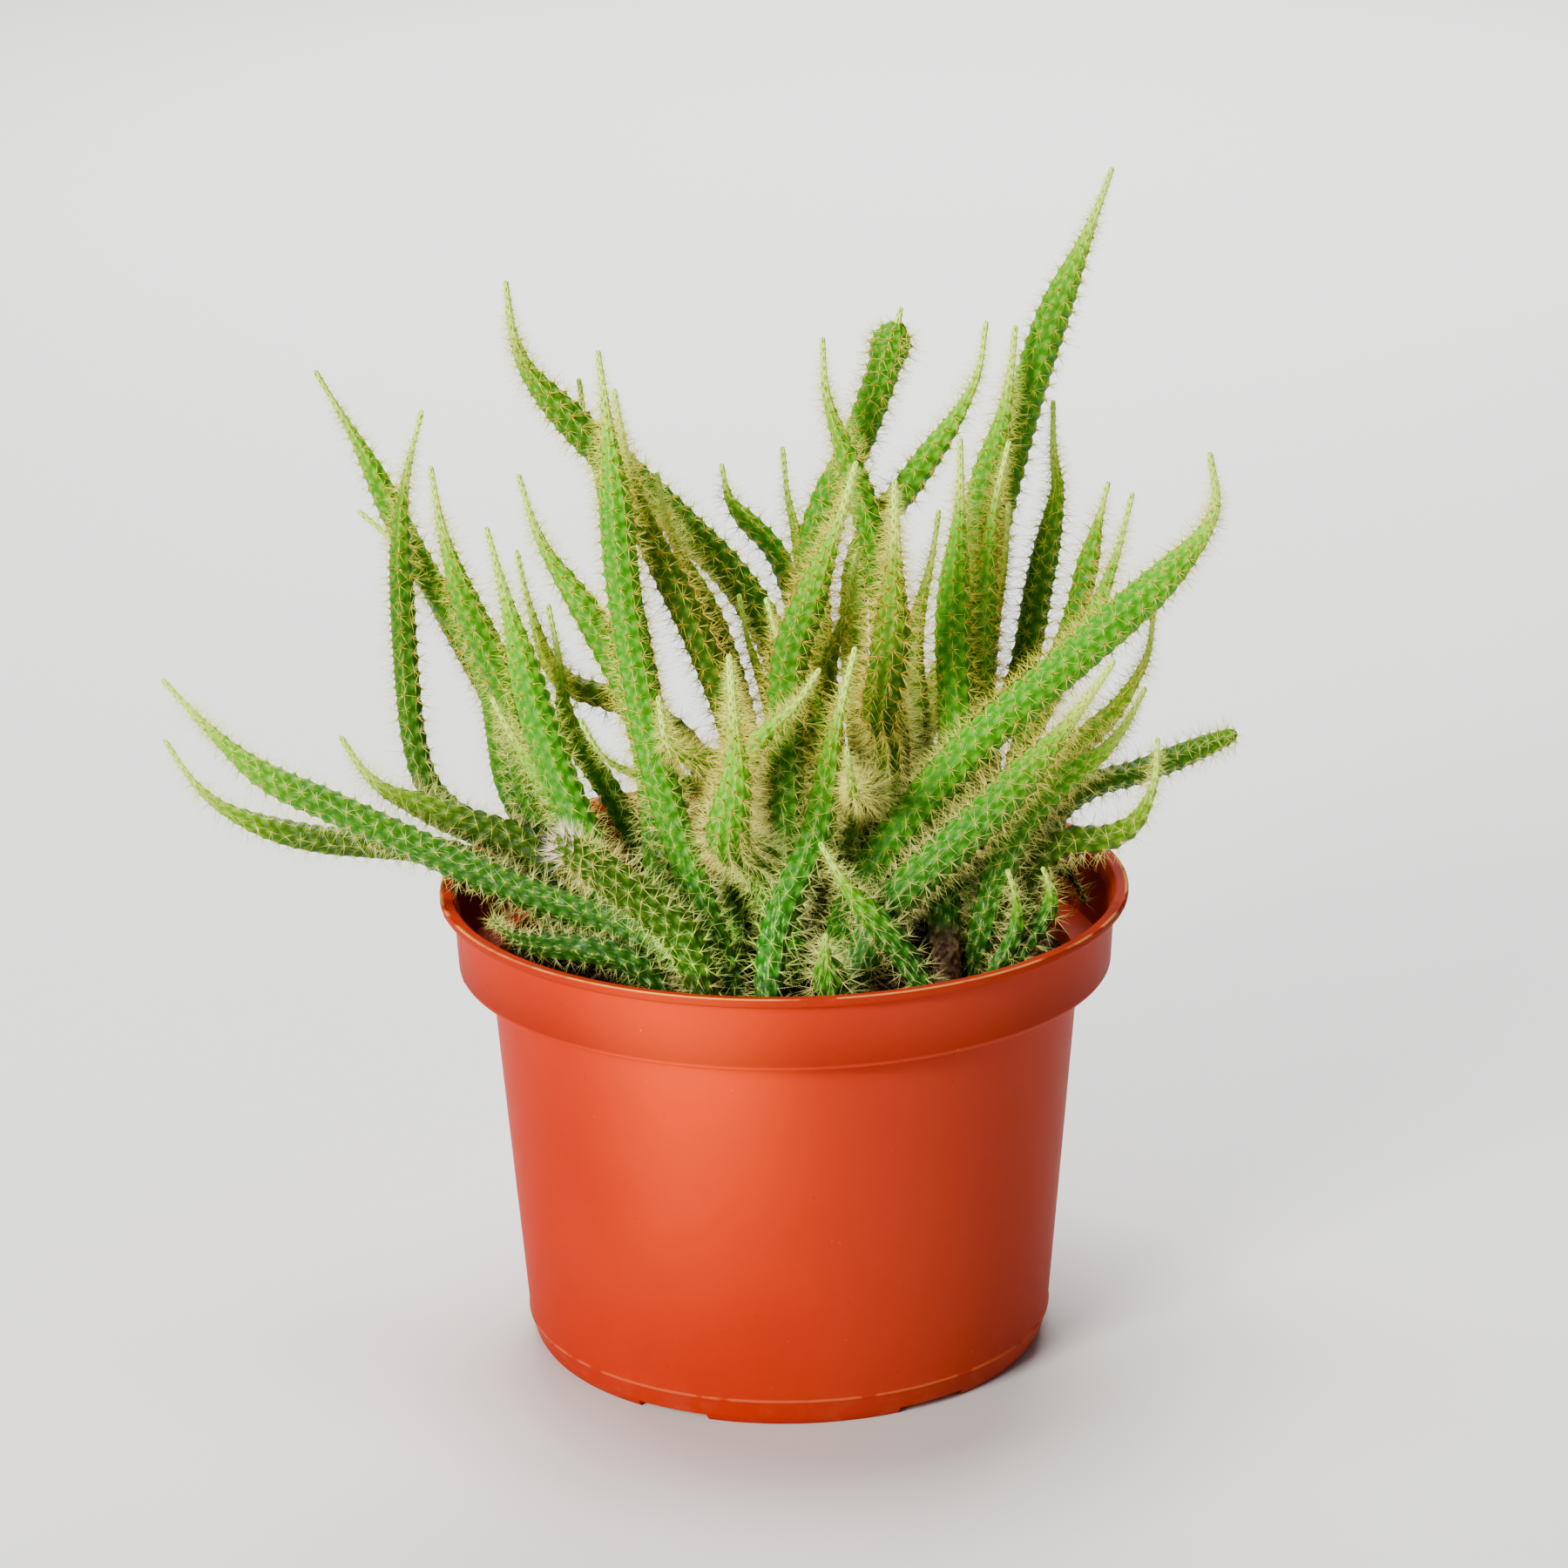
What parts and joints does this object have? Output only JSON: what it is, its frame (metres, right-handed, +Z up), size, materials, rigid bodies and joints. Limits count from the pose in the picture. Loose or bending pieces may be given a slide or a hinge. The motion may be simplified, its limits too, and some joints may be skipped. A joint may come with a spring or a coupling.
{
  "type": "potted rat tail cactus",
  "caption": "Clump of slender, spiny, upright and arching cactus stems standing in soil in a tapered round plastic nursery pot.",
  "frame": {"origin": "middle of the pot's underside, on the level of the foot ring that it stands on", "axes": "+Z up, out of the pot; +X to the right and -Y to the front, seen from the side where the crossing stems face the viewer"},
  "size_m": [0.2421, 0.1775, 0.265],
  "materials": {
    "pot_plastic": "terracotta-orange moulded plastic with a satin sheen",
    "soil": "dark moist potting mix of peat and bark",
    "stem": "waxy green cactus skin with rows of areoles and fine pale spines",
    "old_wood": "brown corky bark of an old stem"
  },
  "bodies": {
    "root": {"pot": "pot_plastic", "soil": "soil", "stem_left_long": "stem", "stem_left_low": "stem", "stem_left_hairy": "stem", "stem_left_upright": "stem", "stem_left_high": "stem", "stem_left_high_small": "stem", "stem_left_inner_tall": "stem", "stem_left_bright": "stem", "stem_left_behind": "stem", "stem_left_slim": "stem", "stem_left_arching": "stem", "stem_left_shoot": "stem", "stem_middle_tall": "stem", "stem_middle_second": "stem", "stem_middle_rear_slim": "stem", "stem_middle_olive": "stem", "stem_middle_leaning": "stem", "stem_middle_crossing": "stem", "stem_front_hairy": "stem", "stem_front_upturned": "stem", "stem_front_short_right": "stem", "stem_front_ball": "stem", "stem_front_left_blunt": "stem", "stem_centre_slim": "stem", "stem_centre_bright": "stem", "stem_rear_fork": "stem", "stem_centre_leaning": "stem", "stem_rear_left_tip": "stem", "stem_rear_blunt": "stem", "stem_rear_arching": "stem", "stem_centre_hairy": "stem", "stem_centre_olive": "stem", "stem_right_upright": "stem", "stem_right_dark": "stem", "stem_right_leaning": "stem", "stem_right_thin_front": "stem", "stem_right_thin_rear": "stem", "stem_right_tallest": "stem", "stem_right_rear_long": "stem", "stem_right_pair": "stem", "stem_right_long": "stem", "stem_right_front_long": "stem", "stem_right_front_short": "stem", "stem_right_hairy": "stem", "stem_right_low_rear": "stem", "stem_right_low_front": "stem", "stem_rim_shoot_left": "stem", "stem_drooping": "stem", "stem_front_bright": "stem", "stem_front_crossing": "stem", "stem_front_tuft": "stem", "stem_old_wood": "old_wood", "stem_rim_follower": "stem", "stem_back_left": "stem", "stem_back_middle": "stem", "stem_back_right": "stem"}
  },
  "joints": []
}
